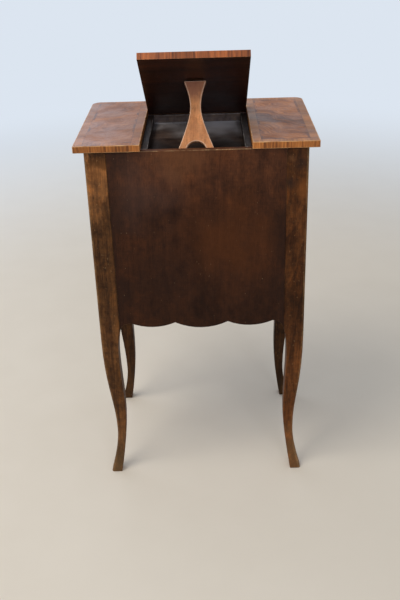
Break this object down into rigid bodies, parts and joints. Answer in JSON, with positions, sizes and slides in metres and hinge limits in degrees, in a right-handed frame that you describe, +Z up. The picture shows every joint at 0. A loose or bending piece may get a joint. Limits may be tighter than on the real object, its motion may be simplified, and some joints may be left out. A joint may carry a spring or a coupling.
{
  "type": "reading table",
  "caption": "Small veneered reading table on curved legs, with a hinged reading flap held up by a folding strut over a shallow well, and drawers that slide out at the front.",
  "frame": {"origin": "on the floor under the middle of the top", "axes": "+Z up, -Y towards the reader and the drawers, +Y towards the back panel, +X to the reader's right"},
  "size_m": [0.45, 0.33, 0.8933],
  "materials": {
    "top_veneer": "waxed walnut veneer with crossbanded borders",
    "flap_wood": "veneered on top, dark polished underside",
    "case_wood": "dark stained and waxed, vertical grain",
    "leg_wood": "stained and waxed, worn on the edges",
    "strut_wood": "plain waxed fruitwood",
    "lining_wood": "unfinished oak",
    "well_wood": "dark stained, dull",
    "brass": "aged, dull"
  },
  "bodies": {
    "carcass": {"leg_front_left": "leg_wood", "leg_front_right": "leg_wood", "leg_rear_left": "leg_wood", "leg_rear_right": "leg_wood", "back_panel": "case_wood", "side_panel_left": "case_wood", "side_panel_right": "case_wood", "front_top_rail": "case_wood", "front_apron": "case_wood", "drawer_rail_upper": "case_wood", "drawer_rail_lower": "case_wood", "runner_upper_left": "lining_wood", "runner_upper_right": "lining_wood", "runner_middle_left": "lining_wood", "runner_middle_right": "lining_wood", "runner_lower_left": "lining_wood", "runner_lower_right": "lining_wood", "well_floor": "well_wood", "well_batten_front": "well_wood", "well_batten_left": "well_wood", "well_batten_right": "well_wood", "top_left": "top_veneer", "top_right": "top_veneer", "top_front": "top_veneer", "flap_hinge_fixed_leaf_left": "brass", "flap_hinge_fixed_leaf_right": "brass", "flap_hinge_pin_left": "brass", "flap_hinge_pin_right": "brass"},
    "flap": {"flap": "flap_wood", "flap_hinge_moving_leaf_left": "brass", "flap_hinge_moving_leaf_right": "brass", "strut_hinge_fixed_leaf": "brass", "strut_hinge_pin": "brass"},
    "strut": {"strut": "strut_wood", "strut_hinge_moving_leaf": "brass"},
    "drawer_upper": {"drawer_upper_front": "top_veneer", "drawer_upper_side_left": "lining_wood", "drawer_upper_side_right": "lining_wood", "drawer_upper_bottom": "lining_wood", "drawer_upper_back": "lining_wood", "drawer_upper_knob": "brass"},
    "drawer_middle": {"drawer_middle_front": "top_veneer", "drawer_middle_side_left": "lining_wood", "drawer_middle_side_right": "lining_wood", "drawer_middle_bottom": "lining_wood", "drawer_middle_back": "lining_wood", "drawer_middle_knob": "brass"},
    "drawer_lower": {"drawer_lower_front": "top_veneer", "drawer_lower_side_left": "lining_wood", "drawer_lower_side_right": "lining_wood", "drawer_lower_bottom": "lining_wood", "drawer_lower_back": "lining_wood", "drawer_lower_knob": "brass"}
  },
  "joints": [
    {"name": "flap_hinge", "type": "hinge", "parent": "carcass", "child": "flap", "pos_m": [0, -0.099, 0.74], "axis": [1, 0, 0], "range_deg": [0, 54.5]},
    {"name": "strut_hinge", "type": "hinge", "parent": "flap", "child": "strut", "pos_m": [0, 0.04439, 0.82312], "axis": [1, 0, 0], "range_deg": [-94.5, 0]},
    {"name": "drawer_upper_slide", "type": "slide", "parent": "carcass", "child": "drawer_upper", "axis": [0, -1, 0], "range_m": [0, 0.2]},
    {"name": "drawer_middle_slide", "type": "slide", "parent": "carcass", "child": "drawer_middle", "axis": [0, -1, 0], "range_m": [0, 0.2]},
    {"name": "drawer_lower_slide", "type": "slide", "parent": "carcass", "child": "drawer_lower", "axis": [0, -1, 0], "range_m": [0, 0.2]}
  ],
  "couplings": [
    {"joint": "strut_hinge", "follows": "flap_hinge", "ratio": -1.7242}
  ]
}
